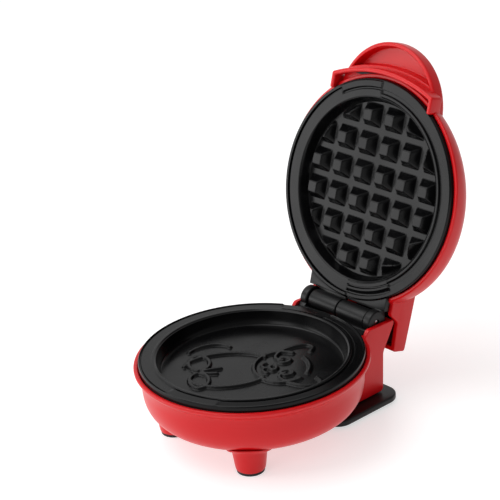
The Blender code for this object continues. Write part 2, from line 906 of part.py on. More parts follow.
def pads():
    for side, word in ((-1, "left"), (1, "right")):
        front = cylinder(
            f"front_pad_{word}",
            (side * legX, legY, 0.0),
            (side * legX, legY, padHeight),
            legBottomRadius - padInset,
            root,
            barSteps,
        )
        rear = cylinder(
            f"rear_pad_{word}",
            (side * rearPadX, rearPadY, 0.0),
            (side * rearPadX, rearPadY, footLow - touchGap),
            rearPadRadius,
            root,
            barSteps,
        )
        finish(front, (0.01, 0.01, 0.01), 0.8)
        finish(rear, (0.01, 0.01, 0.01), 0.8)


def hingePin():
    reach = earHalf - touchGap
    item = cylinder("hinge_pin", (-reach, hingeY, hingeZ), (reach, hingeY, hingeZ), pinRadius, root, 16)
    finish(item, (0.6, 0.6, 0.6), 0.25, 1.0)


def lidHousing():
    item = turned(
        "lid_housing",
        shellProfile(shellRadius, lidRim, domeTop, domeRoundness),
        lidHinge,
        closed=False,
    )
    lean(item, -domeLean, lidRim)
    hollow = turned(
        "dome_hollow",
        [(shellRadius - shellWall, visorLow - reachThrough)]
        + shellProfile(shellRadius - shellWall, lidRim, domeTop - shellWall, domeRoundness),
        lidHinge,
        cutter=True,
        closed=False,
    )
    lean(hollow, 0.0, lidRim)
    for vertex in hollow.data.vertices:
        vertex.co.y += domeLean * max(0.0, vertex.co.z - lidRim)
    tail = outline("tail", tailOutline(), -tailHalf, tailHalf, lidHinge, "X", True)
    bevel(tail, tailBevel)
    tailHollow = outline(
        "tail_hollow",
        tailOutline(shellWall, True),
        -tailHalf + shellWall,
        tailHalf - shellWall,
        lidHinge,
        "X",
        True,
    )
    grip = cylinder(
        "grip",
        (0, handleCentre, handleLow),
        (0, handleCentre, handleLow + handleThickness),
        handleRadius,
        lidHinge,
        turnSteps,
        True,
    )
    bevel(grip, handleBevel, 3)
    outerWall = visorArc(0.0, visorHalf)
    innerWall = visorArc(-visorWall, visorHalf - visorWall)
    rootY = -sqrt((shellRadius - shellWall / 2) ** 2 - visorHalf**2)
    wallPoints = [(-visorHalf, rootY)] + outerWall + [(visorHalf, rootY)]
    wallPoints += [(visorHalf - visorWall, rootY)] + innerWall[::-1] + [(-visorHalf + visorWall, rootY)]
    visor = outline("visor", wallPoints, visorLow, visorHigh, lidHinge, "Z", True)
    pocketRadius = handleRadius - pocketRim
    back = visorArc(0.0, sqrt(pocketRadius**2 - (visorReach + handleCentre) ** 2) - pocketWeb)
    left = atan2(back[0][1] - handleCentre, back[0][0]) % (2 * pi)
    right = atan2(back[-1][1] - handleCentre, back[-1][0]) % (2 * pi)
    front = arc((0.0, handleCentre), pocketRadius, right, left, 16)
    pocket = outline(
        "pocket",
        back + front,
        handleLow - 3 * overshoot,
        handleLow + pocketDepth,
        lidHinge,
        "Z",
        True,
    )
    combine(item, "UNION", tail, grip, visor)
    combine(item, "DIFFERENCE", hollow, tailHollow, pocket)
    notch = box(
        "deck_notch",
        (-lidDeckHalf - touchGap, deckFront, visorLow),
        (lidDeckHalf + touchGap, tailEnd, lidPlane + deckRise + deckThickness + touchGap),
        lidHinge,
        True,
    )
    high = cutTop + reachThrough
    lensHole = upright("lens_hole", (0, lensY), lidPlane, high, lensRadius + touchGap, lidHinge)
    combine(item, "DIFFERENCE", notch, lensHole)
    finish(item, (0.62, 0.012, 0.016), 0.22, coat=0.5)


def lidFrame():
    low = lidFrameBottom
    item = turned(
        "lid_inner_frame",
        [
            (frameOuter - frameTaper, low + frameHeight),
            (frameOuter, low + frameLip),
            (frameOuter, low),
            (frameInner, low),
            (frameInner, low + frameHeight),
        ],
        lidHinge,
    )
    deckLow = lidPlane + deckRise
    deckHigh = deckLow + deckThickness
    deckCorner = (lidDeckHalf, deckRear, deckHigh)
    deck = box("lid_deck", (-lidDeckHalf, deckFront, deckLow), deckCorner, lidHinge, True)
    inner = turned(
        "lid_well_cut",
        [
            (frameInner, cutTop),
            (frameInner, low),
            (flangeRadius + touchGap, low),
            (flangeRadius + touchGap, 0.0),
        ],
        lidHinge,
        cutter=True,
        closed=False,
    )
    combine(item, "UNION", deck)
    combine(item, "DIFFERENCE", inner)
    webFront = deckRear - deckBite
    webRear = hingeY - webInset
    barrel = hingeBar("lid_barrel", -barrelHalf, -barrelSplit, barrelRadius, lidHinge)
    web = box(
        "lid_barrel_web",
        (webSide - barrelHalf, webFront, deckLow + deckBite),
        (-webSide - barrelSplit, webRear, deckHigh - 2 * deckBite),
        lidHinge,
        True,
    )
    lug = hingeBar("lid_lug", lugStart, lugEnd, lugRadius, lidHinge)
    lugWeb = box(
        "lid_lug_web",
        (lugStart + webSide, webFront, deckLow + deckBite),
        (lugEnd - webSide, webRear, deckHigh - deckBite),
        lidHinge,
        True,
    )
    combine(item, "UNION", barrel, web, lug, lugWeb)
    combine(item, "DIFFERENCE", hingeBar("lid_bore", -columnHalf, columnHalf, pinRadius + boreGap, lidHinge))
    finish(item, (0.012, 0.012, 0.013), 0.42)


def indicator():
    # A round lens in the lid's top with a neon lamp behind it.
    top = domeTop - lensSink
    low = top - lensHeight
    item = cylinder("indicator_lens", (0, lensY, low), (0, lensY, top), lensRadius, lidHinge)
    finish(item, (0.8, 0.12, 0.03), 0.15)
    high = low - touchGap
    ends = ((0, lensY, high - lampHeight), (0, lensY, high))
    lamp = cylinder("indicator_lamp", *ends, lampRadius, lidHinge, screwSteps)
    finish(lamp, (0.9, 0.6, 0.4), 0.2)


def centreFootprint():
    # The origin is the middle of the footprint, lid open, on the surface it stands on.
    view = bpy.context.evaluated_depsgraph_get()
    meshes = [item for item in partsCollection.objects if item.type == "MESH"]
    exact = []
    for item in meshes:
        shown = item.evaluated_get(view)
        matrix = shown.matrix_world
        exact += [(matrix @ vertex.co).y for vertex in shown.data.vertices]
    root.location.y = -(min(exact) + max(exact)) / 2
    bpy.context.view_layer.update()
    print("hinge axis at", tuple(round(v, 6) for v in lidHinge.matrix_world.translation))


clearScene()
partsCollection = newCollection("waffle_maker")
cutterCollection = newCollection("cutters")
lidHinge = None
root = newEmpty("waffle_maker_root", (0.0, 0.0, 0.0))
lidHinge = newEmpty("lid_hinge_axis", (0.0, hingeY, hingeZ), root)
lidHinge.rotation_euler.x = -openAngle

baseHousing()
baseFrame()
lowerPlate()
heaterElement("lower_element", baseElementZ, root)
reflectorPan(
    "lower_reflector", basePanTop, basePanDepth, basePanTaper, -1, basePanInner, basePanFlange, root
)
elementClamps("lower", plateUnder - bossHeight, baseElementZ, -1, root)
plateScrews()
thermostat()
thermalFuse()
terminalBlock()
cordGland()
cordClamp()
rearFoot()
pads()
hingePin()
lidHousing()
lidFrame()
upperPlate()
heaterElement("upper_element", lidElementZ, lidHinge)
reflectorPan(
    "upper_reflector", lidPanBottom, lidPanDepth, lidPanTaper, 1, lidPanInner, lidPanFlange, lidHinge
)
elementClamps("upper", plateOver + bossHeight, lidElementZ, 1, lidHinge)
indicator()
centreFootprint()
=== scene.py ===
import json
from math import acos, asin, atan2, cos, degrees, pi, radians, sin, sqrt, tan

import bmesh
import bpy
import numpy as np
from mathutils import Matrix, Vector


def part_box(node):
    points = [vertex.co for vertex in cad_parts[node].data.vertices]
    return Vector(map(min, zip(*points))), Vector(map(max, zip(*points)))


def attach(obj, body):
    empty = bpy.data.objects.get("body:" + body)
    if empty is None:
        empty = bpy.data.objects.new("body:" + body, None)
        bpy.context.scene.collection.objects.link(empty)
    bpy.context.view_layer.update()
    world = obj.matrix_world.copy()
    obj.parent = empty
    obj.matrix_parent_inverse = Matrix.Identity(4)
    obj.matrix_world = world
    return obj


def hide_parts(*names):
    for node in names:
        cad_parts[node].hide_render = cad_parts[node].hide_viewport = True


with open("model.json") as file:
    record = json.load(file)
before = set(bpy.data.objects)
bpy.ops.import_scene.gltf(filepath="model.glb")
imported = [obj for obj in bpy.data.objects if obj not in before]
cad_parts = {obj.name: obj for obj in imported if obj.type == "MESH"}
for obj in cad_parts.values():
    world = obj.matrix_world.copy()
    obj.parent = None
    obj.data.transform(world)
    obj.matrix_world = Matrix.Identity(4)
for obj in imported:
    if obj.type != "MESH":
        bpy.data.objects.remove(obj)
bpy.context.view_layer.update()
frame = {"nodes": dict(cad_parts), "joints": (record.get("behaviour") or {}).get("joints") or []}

# Every shape below is worked out in millimetres with the lid shut: x along the hinge,
# y = 0 under the middle of the cooking plates, z = 0 on the worktop. seat() brings it to its place.
hinge = frame["joints"][0]["pos_m"]
plateLow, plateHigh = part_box("lower_plate")
ringY = (plateLow[1] + plateHigh[1]) / 2 * 1000
partingZ = plateHigh[2] * 1000
hingeY = hinge[1] * 1000 - ringY
hingeZ = hinge[2] * 1000
openAngle = radians(-107.0)
lidZ = partingZ + 0.6  # the lid's ring plane when shut


# Small tools
# An sRGB hex colour as linear RGBA.
def linearHex(text):
    values = [int(text[i : i + 2], 16) / 255 for i in (1, 3, 5)]
    return tuple(v / 12.92 if v < 0.04045 else ((v + 0.055) / 1.055) ** 2.4 for v in values) + (1.0,)


# Millimetres with the lid shut to metres in the frame; lid points also turn about the hinge.
def seat(points, body):
    out = np.array(points, dtype=float).reshape(-1, 3)
    if body == "lid":
        y = out[:, 1] - hingeY
        z = out[:, 2] - hingeZ
        out[:, 1] = hingeY + y * cos(openAngle) - z * sin(openAngle)
        out[:, 2] = hingeZ + y * sin(openAngle) + z * cos(openAngle)
    out[:, 1] += ringY
    return out / 1000


def newMesh(name, points, faces):
    mesh = bpy.data.meshes.new(name)
    mesh.from_pydata(np.asarray(points).tolist(), [], faces)
    shape = bmesh.new()
    shape.from_mesh(mesh)
    bmesh.ops.remove_doubles(shape, verts=shape.verts, dist=0.0005)
    bmesh.ops.recalc_face_normals(shape, faces=shape.faces)
    shape.to_mesh(mesh)
    shape.free()
    piece = bpy.data.objects.new(name, mesh)
    bpy.context.scene.collection.objects.link(piece)
    return piece


# Quads between neighbouring rows and columns of a grid.
def gridFaces(rows, cols, wrapRows, wrapCols):
    r = np.arange(rows if wrapRows else rows - 1)[:, None]
    c = np.arange(cols if wrapCols else cols - 1)[None, :]
    a = r * cols + c
    b = r * cols + (c + 1) % cols
    d = ((r + 1) % rows) * cols + c
    e = ((r + 1) % rows) * cols + (c + 1) % cols
    return np.stack([a, b, e, d], axis=-1).reshape(-1, 4).tolist()


# A grid of closed rows of points; the first and last rows are capped unless the rows wrap.
def loft(name, grid, wrapRows=False):
    rows, cols = grid.shape[:2]
    faces = gridFaces(rows, cols, wrapRows, True)
    if not wrapRows:
        faces.append(list(range(cols)))
        faces.append([(rows - 1) * cols + k for k in range(cols)])
    return newMesh(name, grid.reshape(-1, 3), faces)


# Each corner of a closed outline becomes an arc that touches both of its sides.
def roundCorners(outline, radii, steps=6):
    points = np.asarray(outline, dtype=float)
    radii = np.broadcast_to(radii, len(points))
    parts = []
    for i, point in enumerate(points):
        before = points[i - 1] - point
        after = points[(i + 1) % len(points)] - point
        lengths = np.linalg.norm(before), np.linalg.norm(after)
        before = before / lengths[0]
        after = after / lengths[1]
        half = acos(np.clip(before @ after, -1, 1)) / 2
        if radii[i] <= 0 or half > 1.55:
            parts.append(point[None])
            continue
        cut = min(radii[i] / tan(half), 0.48 * lengths[0], 0.48 * lengths[1])
        radius = cut * tan(half)
        middle = before + after
        centre = point + middle / np.linalg.norm(middle) * radius / sin(half)
        start = point + before * cut - centre
        end = point + after * cut - centre
        first = atan2(start[1], start[0])
        turn = (atan2(end[1], end[0]) - first + pi) % (2 * pi) - pi
        t = first + turn * np.linspace(0, 1, steps + 1)
        parts.append(centre + radius * np.stack([np.cos(t), np.sin(t)], axis=1))
    return np.concatenate(parts)


# A profile of (radius, height) turned about an upright axis, or about the hinge for axis X.
def revolve(name, profile, steps=180, axis="Z", centre=(0.0, 0.0), wrap=True):
    profile = np.asarray(profile, dtype=float)
    t = np.linspace(0, 2 * pi, steps, endpoint=False)
    r = profile[:, 0][:, None]
    h = np.broadcast_to(profile[:, 1][:, None], (len(profile), steps))
    if axis == "X":
        grid = np.stack([h, hingeY + r * np.cos(t), hingeZ + r * np.sin(t)], axis=-1)
    else:
        grid = np.stack([centre[0] + r * np.cos(t), centre[1] + r * np.sin(t), h], axis=-1)
    return loft(name, grid, wrap)


# A closed outline carried straight from low to high, with its rims rounded.
def prism(name, outline, low, high, axis="Z", edge=0.6, steps=3):
    outline = np.asarray(outline, dtype=float)
    levels = np.array([low, high])
    flat = np.repeat(outline[None], 2, axis=0)
    level = np.broadcast_to(levels[:, None, None], (2, len(outline), 1))
    parts = [level, flat] if axis == "X" else [flat, level]
    piece = loft(name, np.concatenate(parts, axis=-1))
    if edge > 0:
        step = piece.modifiers.new("rims", "BEVEL")
        step.width = edge
        step.segments = steps
        step.limit_method = "ANGLE"
        step.angle_limit = radians(50)
        step.use_clamp_overlap = True
    return piece


# Takes other shapes out of a piece, or joins them to it, and drops them.
def carve(piece, *tools, operation="DIFFERENCE"):
    for tool in tools:
        step = piece.modifiers.new(tool.name, "BOOLEAN")
        step.operation = operation
        step.solver = "EXACT"
        step.object = tool
    bake(piece)
    for tool in tools:
        bpy.data.objects.remove(tool, do_unlink=True)
    return piece


def bake(piece):
    view = bpy.context.evaluated_depsgraph_get()
    mesh = bpy.data.meshes.new_from_object(piece.evaluated_get(view))
    piece.modifiers.clear()
    piece.data = mesh


# Seats a finished piece, shades it, and says what it rides on, replaces and is made of.
def fit(piece, body, slot, material, *nodes, sharp=38):
    bake(piece)
    mesh = piece.data
    co = np.empty(len(mesh.vertices) * 3)
    mesh.vertices.foreach_get("co", co)
    mesh.vertices.foreach_set("co", seat(co, body).ravel())
    mesh.shade_smooth()
    mesh.set_sharp_from_angle(angle=radians(sharp))
    mesh.materials.clear()
    mesh.materials.append(material)
    mesh.update()
    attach(piece, body)
    if nodes:
        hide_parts(*nodes)
    return piece


# 0 before start, 1 after end, with a smooth step between.
def blendBetween(value, start, end):
    t = np.clip((value - start) / (end - start), 0, 1)
    return t * t * (3 - 2 * t)


# Materials
# Adds a node, sets its properties and sockets, and links the sockets given as outputs.
def node(tree, kind, settings=None, **links):
    made = tree.nodes.new(kind)
    for key, value in (settings or {}).items():
        if isinstance(key, str) and hasattr(made, key):
            setattr(made, key, value)
        else:
            made.inputs[key].default_value = value
    for key, value in links.items():
        tree.links.new(value, made.inputs[int(key[1:])] if key[0] == "i" else made.inputs[key])
    return made


def newMaterial(name, colour, roughness, metallic=0.0, coat=0.0, ior=1.5, specular=0.5):
    material = bpy.data.materials.new(name)
    material.use_nodes = True
    shader = material.node_tree.nodes["Principled BSDF"]
    shader.inputs["Base Color"].default_value = linearHex(colour)
    shader.inputs["Roughness"].default_value = roughness
    shader.inputs["Metallic"].default_value = metallic
    shader.inputs["Coat Weight"].default_value = coat
    shader.inputs["Coat Roughness"].default_value = 0.15
    shader.inputs["Specular IOR Level"].default_value = specular
    shader.inputs["IOR"].default_value = ior
    return material


# Grain of a real size in mm as bump and roughness, and a slow colour change of size tint mm.
def addGrain(material, size, depth, roughness, spread, colourA=None, colourB=None, tint=12.0):
    tree = material.node_tree
    shader = tree.nodes["Principled BSDF"]
    place = node(tree, "ShaderNodeTexCoord").outputs["Object"]
    grain = node(tree, "ShaderNodeTexNoise", {"Scale": 1000 / size, "Detail": 3.0}, Vector=place)
    slow = node(tree, "ShaderNodeTexNoise", {"Scale": 1000 / tint, "Detail": 2.0}, Vector=place)
    bump = node(
        tree,
        "ShaderNodeBump",
        {"Strength": 1.0, "Distance": depth / 1000},
        Height=grain.outputs["Fac"],
    )
    tree.links.new(bump.outputs["Normal"], shader.inputs["Normal"])
    rough = node(
        tree,
        "ShaderNodeMapRange",
        {"To Min": roughness - spread, "To Max": roughness + spread, "From Min": 0.3,
            "From Max": 0.7},
        Value=slow.outputs["Fac"],
    )
    tree.links.new(rough.outputs["Result"], shader.inputs["Roughness"])
    if colourA:
        mix = node(tree, "ShaderNodeMix", {"data_type": "RGBA"})
        mix.inputs[6].default_value = linearHex(colourA)
        mix.inputs[7].default_value = linearHex(colourB)
        tree.links.new(grain.outputs["Fac"] if tint < 0 else slow.outputs["Fac"], mix.inputs[0])
        tree.links.new(mix.outputs[2], shader.inputs["Base Color"])
    return material


# Gloss moulded ABS: a clear red with soft broad highlights and faint orange peel
redAbs = newMaterial("redGlossMouldedAbs", "#c9040d", 0.33, ior=1.5, specular=0.32)
addGrain(redAbs, 1.6, 0.006, 0.33, 0.03, "#cc050e", "#c0030b", 30.0)

# Glass-filled PBT from a fine spark-eroded mould: satin black with a fine texture
blackPbt = newMaterial("blackSatinMouldedPbt", "#09090a", 0.36, ior=1.5, specular=0.26)
addGrain(blackPbt, 0.45, 0.010, 0.36, 0.05, "#0b0b0c", "#080809", 15.0)

# Die-cast aluminium under sprayed PTFE: dark, slightly glossy, with a pebbled skin
ptfeCast = newMaterial("ptfeCoatedDieCastAluminium", "#060607", 0.24, ior=1.36, specular=0.34)
addGrain(ptfeCast, 0.6, 0.008, 0.24, 0.05, "#070708", "#050506", 20.0)

# Zinc-plated pressed steel: cool grey with faint cloudiness
zincSteel = newMaterial("zincPlatedPressedSteel", "#b9bbbd", 0.28, metallic=1.0)
addGrain(zincSteel, 2.0, 0.004, 0.28, 0.07, "#c2c4c6", "#a9abae", 6.0)

# Aluminised steel sheet as rolled: matt silver
panSheet = newMaterial("rolledAluminiumSheet", "#c8c8c6", 0.35, metallic=1.0)
addGrain(panSheet, 1.2, 0.004, 0.35, 0.06, "#cfcfcd", "#b8b8b6", 18.0)

# Heater sheath of steel browned by heat
heatSteel = newMaterial("heatBrownedSteelTube", "#8a8178", 0.42, metallic=1.0)
addGrain(heatSteel, 1.5, 0.006, 0.42, 0.08, "#928a80", "#6f655c", 9.0)

# Moulded nitrile rubber: matt and faintly dusty
padRubber = newMaterial("mouldedBlackRubber", "#151516", 0.75, ior=1.52)
addGrain(padRubber, 0.5, 0.02, 0.75, 0.06, "#18181a", "#121213", 8.0)

# Cream moulded nylon of the terminal strip
creamNylon = newMaterial("creamMouldedNylon", "#d8d2bd", 0.5)
addGrain(creamNylon, 0.6, 0.01, 0.5, 0.05, "#dcd6c2", "#cec7b0", 9.0)

# Amber polycarbonate lens and the glass of the lamp behind it
amberLens = newMaterial("amberMouldedPolycarbonate", "#e2551c", 0.12, ior=1.585)
addGrain(amberLens, 1.2, 0.003, 0.12, 0.03, "#e65a1e", "#d84c16", 4.0)
lampGlass = newMaterial("clearBlownGlass", "#f0d8c0", 0.08, ior=1.5)
lampGlass.node_tree.nodes["Principled BSDF"].inputs["Transmission Weight"].default_value = 0.7
addGrain(lampGlass, 1.0, 0.002, 0.08, 0.02)
print("materials ready")


# Red base housing
bowl = {
    "radius": 61.2,
    "rim": partingZ - 3.0,
    "floor": 9.8,
    "wall": 2.4,
    "lip": 1.1,
    "tuck": 3.4,
    "body": 5.0,
    "lean": 0.0,
    "roundness": 3.9,
    "rimRound": 0.8,
}


# Half section of a shell, (radius, depth from the rim): a quarter superellipse
# |r/R|^n + |h/H|^n = 1, with a collar above it that eases out by tuck towards the lip.
def shellProfile(size, inset):
    power = 2 / size["roundness"]
    deep = abs(size["rim"] - size["floor"]) - inset - size["body"]
    t = np.linspace(0, pi / 2, 48)
    r = (size["radius"] - inset - size["tuck"]) * np.cos(t) ** power
    h = size["body"] + deep * np.sin(t) ** power
    collar = np.linspace(0, size["body"], 20, endpoint=False)
    r = np.concatenate([np.full(20, r[0]), r])
    h = np.concatenate([collar, h])
    r = r + size["tuck"] * (1 - blendBetween(h, size["lip"], size["body"] + 0.4))
    keep = (r > 1.5) & (h > size["rimRound"] * 1.2)
    return np.stack([r[keep], h[keep]], axis=1)


# The section turned about z, outside first and then inside, with a round rim between them;
# each level slides back by lean times its depth.
def shellGrid(size, steps):
    sign = 1 if size["floor"] < size["rim"] else -1
    soft = size["rimRound"]
    a = np.linspace(0, pi / 2, 6)
    inside = size["radius"] - size["wall"]
    rimOuter = np.stack([size["radius"] - soft + soft * np.sin(a), soft - soft * np.cos(a)], 1)
    rimInner = np.stack([inside + soft - soft * np.sin(a), soft - soft * np.cos(a)], 1)
    outer = shellProfile(size, 0.0)[::-1]
    profile = np.concatenate([outer, rimOuter[::-1], rimInner, shellProfile(size, size["wall"])])
    angle = np.linspace(0, 2 * pi, steps, endpoint=False)
    x = profile[:, 0][:, None] * np.cos(angle)
    y = profile[:, 0][:, None] * np.sin(angle) + size["lean"] * profile[:, 1][:, None]
    z = np.broadcast_to(size["rim"] - sign * profile[:, 1][:, None], x.shape)
    return np.stack([x, y, z], axis=-1)


leg = {"x": 29.5, "y": -31.0, "foot": 1.6, "radius": 7.7, "slope": 0.13, "fillet": 2.6, "edge": 0.7}


# Height of the bowl's outer skin above a point: the superellipse solved for its depth.
def bowlHeight(x, y):
    top = bowl["rim"] - bowl["body"]
    share = np.clip(np.hypot(x, y) / (bowl["radius"] - bowl["tuck"]), 0, 1)
    fall = (1 - share ** bowl["roundness"]) ** (1 / bowl["roundness"])
    return top - (top - bowl["floor"]) * fall


# A tapered round leg whose top flares in a quarter circle onto the bowl's skin.
def legGrid(side):
    t = np.linspace(0, 2 * pi, 72, endpoint=False)
    reach = leg["radius"] + leg["slope"] * 14
    cx, cy = side * leg["x"], leg["y"]
    top = bowlHeight(cx + reach * np.cos(t), cy + reach * np.sin(t))
    edge = leg["edge"]
    rows = []
    for a in np.linspace(0, pi / 2, 5):
        r = leg["radius"] - edge + edge * sin(a)
        z = np.full_like(t, leg["foot"] + edge * (1 - cos(a)))
        rows.append(np.stack([cx + r * np.cos(t), cy + r * np.sin(t), z], 1))
    for s in np.linspace(0.08, 1, 26):
        z = leg["foot"] + edge + (top + 1.0 - leg["foot"] - edge) * s
        gap = np.clip(top - z, -1.0, leg["fillet"])
        flare = leg["fillet"] - np.sqrt(np.clip(leg["fillet"] ** 2 - (leg["fillet"] - gap) ** 2, 0,
            None))
        flare = np.where(gap < leg["fillet"], flare, 0.0)
        r = leg["radius"] + leg["slope"] * (z - leg["foot"]) + np.where(gap > 0, flare,
            leg["fillet"])
        rows.append(np.stack([cx + r * np.cos(t), cy + r * np.sin(t), z], 1))
    return np.stack(rows)


column = {
    "half": 28.5,
    "wall": 2.4,
    "outline": ((44.0, 5.3), (66.5, 5.3), (67.6, 27.5), (76.2, 41.4), (76.0, 43.6), (57.2, 44.1),
        (52.5, 38.0)),
    "corners": (0.5, 2.2, 5.0, 0.9, 0.8, 3.0, 4.0),
    "hollow": ((42.0, 7.5), (64.2, 7.5), (65.3, 27.8), (73.6, 41.3), (73.6, 60.0), (42.0, 60.0)),
    "edge": 0.9,
}
pot = loft("bowlShell", shellGrid(bowl, 240))
fit(pot, "base", "housing_red", redAbs, "base_housing")
for side, word in ((-1, "Left"), (1, "Right")):
    fit(loft(f"frontLeg{word}", legGrid(side)), "base", "housing_red", redAbs, "base_housing")
tower = prism("rearColumn", roundCorners(column["outline"], column["corners"]), -column["half"],
    column["half"], "X", column["edge"], 4)
bake(tower)
hollowHalf = column["half"] - column["wall"]
hollow = prism("columnHollow", roundCorners(column["hollow"], 1.0), -hollowHalf, hollowHalf, "X", 0)
potInside = [(0.01, 12.2), (44.0, 13.5), (53.0, 19.0), (55.4, 28.0), (55.4, 37.0), (58.8, 40.4),
    (58.8, 60.0), (0.01, 60.0)]
bowlInside = revolve("bowlInside", potInside, 96, wrap=False)
carve(tower, hollow, bowlInside)
fit(tower, "base", "housing_red", redAbs, "base_housing")
print("red base done")

# Red lid
dome = {
    "radius": 61.2,
    "rim": lidZ + 3.0,
    "floor": partingZ + 26.4,
    "wall": 2.4,
    "lip": 0.0,
    "tuck": 0.0,
    "body": 0.0,
    "lean": 0.25,
    "roundness": 3.0,
    "rimRound": 0.8,
}
tail = {
    "half": 29.6,
    "outline": ((46.0, 50.6), (61.5, 50.6), (65.5, 57.0), (82.0, 58.0), (82.0, 66.2), (80.2, 66.6),
        (46.0, 67.7)),
    "corners": (0.5, 2.0, 2.5, 1.2, 2.0, 1.5, 0.5),
    "hollow": ((38.0, 40.0), (79.6, 40.0), (79.6, 64.4), (38.0, 65.6)),
    "wall": 2.4,
    "edge": 1.3,
}
shell = loft("lidDome", shellGrid(dome, 240))
fit(shell, "lid", "housing_red", redAbs, "lid_housing")
hood = prism("lidTail", roundCorners(tail["outline"], tail["corners"]), -tail["half"],
    tail["half"], "X", tail["edge"], 4)
bake(hood)
inner = tail["half"] - tail["wall"]
room = prism("tailHollow", roundCorners(tail["hollow"], 1.5), -inner, inner, "X", 0)
domeInside = revolve(
    "domeInside",
    [(0.01, 40.0), (58.9, 40.0), (58.9, 50.0), (57.3, 57.0), (49.0, 63.0), (0.01, 65.0)],
    96,
    wrap=False,
)
carve(hood, room, domeInside)
fit(hood, "lid", "housing_red", redAbs, "lid_housing")

grip = {
    "radius": 34.5,
    "centre": -44.0,
    "low": partingZ + 5.4,
    "high": partingZ + 14.4,
    "edge": 3.2,
    "rim": 2.3,
    "depth": 5.6,
    "back": 65.4,
    "backCurve": 92.0,
    "soft": 0.7,
}


# The D of the pocket: a circle inset from the grip's, closed by the visor's flatter arc.
# The angles about the grip's middle come with it, so that plain circles can join on.
def gripOutline(inset, back, count=160):
    r = grip["radius"] - inset
    curve = grip["backCurve"]
    gap = curve - back - grip["centre"]
    swing = acos((curve**2 - gap**2 - r**2) / (2 * gap * r))
    front = np.linspace(-swing, swing, count // 2) - pi / 2
    rear = np.linspace(swing, 2 * pi - swing, count // 2 + 2)[1:-1] - pi / 2
    reach = r * sin(swing)
    chord = np.linspace(reach, -reach, count // 2 + 2)[1:-1]
    x = np.concatenate([r * np.cos(front), chord])
    arcY = grip["centre"] + r * np.sin(front)
    y = np.concatenate([arcY, curve - back - np.sqrt(curve**2 - chord**2)])
    return np.stack([x, y], axis=1), np.concatenate([front, rear])


# Rows of outlines: pocket roof, pocket wall, rim, round outer side and rounded top.
def gripGrid():
    high, low, edge, inset, soft = (grip[key] for key in ("high", "low", "edge", "rim", "soft"))
    roof = low + grip["depth"]
    quarter = np.linspace(0, pi / 2, 6)
    rows = [(inset + soft * (1.5 - sin(a)), roof - soft * (1 - cos(a))) for a in quarter]
    rows += [(inset - soft * (1 - cos(a)), low + soft * (1 - sin(a))) for a in quarter]
    out = []
    for offset, z in rows:
        flat, t = gripOutline(offset, grip["back"] + (offset - inset))
        out.append(np.column_stack([flat, np.full(len(flat), z)]))
    circles = [(grip["radius"] - 1.2 * (1 - sin(a)), low + 1.2 * (1 - cos(a))) for a in quarter]
    circles += [(grip["radius"] - edge * (1 - cos(a)),
        high - edge * (1 - sin(a))) for a in np.linspace(0, pi / 2, 10)]
    for r, z in circles:
        out.append(np.column_stack([r * np.cos(t), grip["centre"] + r * np.sin(t), np.full(len(t),
            z)]))
    return np.stack(out)


handle = loft("handleGrip", gripGrid())
core = [(0.2, 40.0), (59.6, 40.0), (59.6, 50.0), (57.8, 57.0), (54.0, 61.0), (0.2, 63.0)]
carve(handle, revolve("gripClear", core, 96, wrap=False))
fit(handle, "lid", "housing_red", redAbs, "lid_housing")

visor = {"reach": 63.8, "curve": 92.0, "half": 36.0, "wall": 2.4, "low": 44.0, "high": 52.5,
    "edge": 0.9}


# A flat arc with a short wall turned back at each end, drawn as one closed ribbon.
def visorOutline():
    def ribbon(offset):
        half = visor["half"] - offset
        radius = visor["curve"] - offset
        swing = asin(half / radius)
        t = np.linspace(-pi / 2 - swing, -pi / 2 + swing, 48)
        centre = visor["curve"] - visor["reach"]
        return np.stack([radius * np.cos(t), centre + radius * np.sin(t)], axis=1)

    outer = ribbon(0.0)
    innerRibbon = ribbon(visor["wall"])
    back = -sqrt(59.8**2 - visor["half"] ** 2)
    left = np.array([[-visor["half"], back]])
    right = np.array([[visor["half"], back]])
    thick = np.array([visor["wall"], 0.0])
    return np.concatenate([left, outer, right, right - thick, innerRibbon[::-1], left + thick])


lip = prism("handleVisor", visorOutline(), visor["low"], visor["high"], "Z", visor["edge"], 3)
fit(lip, "lid", "housing_red", redAbs, "lid_housing", sharp=50)
print("red lid done")


# Cooking plates
plate = {"well": 50.8, "flange": 58.65, "thick": 2.9, "depth": 8.2, "taper": 3.0, "lattice": 6.5,
    "latticeTaper": 4.2}

# Ring relief, millimetres below the ring plane, as (radius, drop) along each sector
lowerRing = {
    "left": ((49.6, 0.6), (50.4, 0.0), (51.5, 0.0), (51.9, 0.55), (57.0, 0.55), (57.25, 1.2),
        (57.8, 1.2), (58.0, 0.1), (58.6, 0.1)),
    "right": ((49.6, 0.6), (50.4, 0.0), (51.6, 0.0), (51.9, 1.3), (52.9, 1.3), (53.2, 0.4), (57.3,
        1.3), (57.6, 0.2), (58.6, 0.2)),
    "front": ((49.6, 0.6), (50.4, 0.0), (51.3, 0.0), (51.6, 1.2), (52.4, 1.2), (52.7, 0.3), (57.6,
        0.6), (57.9, 0.0), (58.6, 0.0)),
    "back": ((49.6, 0.6), (50.4, 0.0), (51.3, 0.0), (51.6, 1.2), (52.3, 1.2), (52.6, 0.2), (53.7,
        0.2), (54.0, 0.8), (58.6, 0.8)),
    "turns": (0.0, 30.0, 180.0, 210.0),
}
